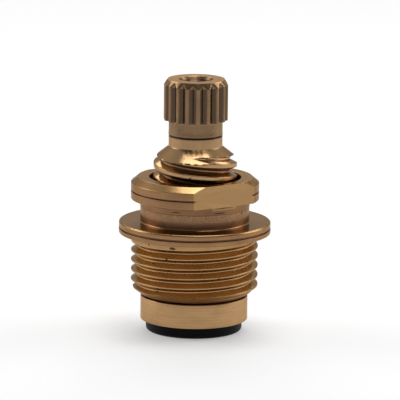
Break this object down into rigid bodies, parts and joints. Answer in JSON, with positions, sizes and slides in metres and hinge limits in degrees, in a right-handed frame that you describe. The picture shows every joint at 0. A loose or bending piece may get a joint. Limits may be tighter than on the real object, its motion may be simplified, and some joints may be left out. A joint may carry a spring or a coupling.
{
  "type": "faucet stem",
  "caption": "Compression faucet stem: threaded brass bonnet with a toothed screw spindle that drives a rubber seat washer.",
  "frame": {"origin": "centre of the seat washer's underside, on the stem's axis, which is also the bottom centre of the box", "axes": "+Z along the stem from the seat washer up to the handle end; -Y is the front that the picture shows"},
  "size_m": [0.0246, 0.0246, 0.0414],
  "materials": {
    "bonnet_brass": "tarnished, cast and turned",
    "spindle_brass": "tarnished, turned",
    "holder_brass": "satin, turned",
    "screw_brass": "turned",
    "thrust_bronze": "flat bearing bronze",
    "ring_steel": "drawn spring wire",
    "washer_rubber": "moulded, matte",
    "seal_rubber": "moulded, greased"
  },
  "bodies": {
    "bonnet": {"bonnet": "bonnet_brass"},
    "thrust": {"thrust_washer": "thrust_bronze", "retaining_ring": "ring_steel"},
    "spindle": {"spindle": "spindle_brass", "o_ring_upper": "seal_rubber", "o_ring_lower": "seal_rubber"},
    "washer_end": {"washer_holder": "holder_brass", "seat_washer": "washer_rubber", "seat_washer_screw": "screw_brass"}
  },
  "joints": [
    {"name": "stem_travel", "type": "slide", "parent": "bonnet", "child": "thrust", "axis": [0, 0, -1], "range_m": [0, 0.00317]},
    {"name": "spindle_turn", "type": "hinge", "parent": "thrust", "child": "spindle", "pos_m": [0, 0, 0.02], "axis": [0, 0, 1], "range_deg": [0, 270]},
    {"name": "holder_swivel", "type": "hinge", "parent": "thrust", "child": "washer_end", "pos_m": [0, 0, 0.004], "axis": [0, 0, 1], "continuous": true}
  ],
  "couplings": [
    {"joint": "spindle_turn", "follows": "stem_travel", "rad_per_m": 1484.2}
  ]
}
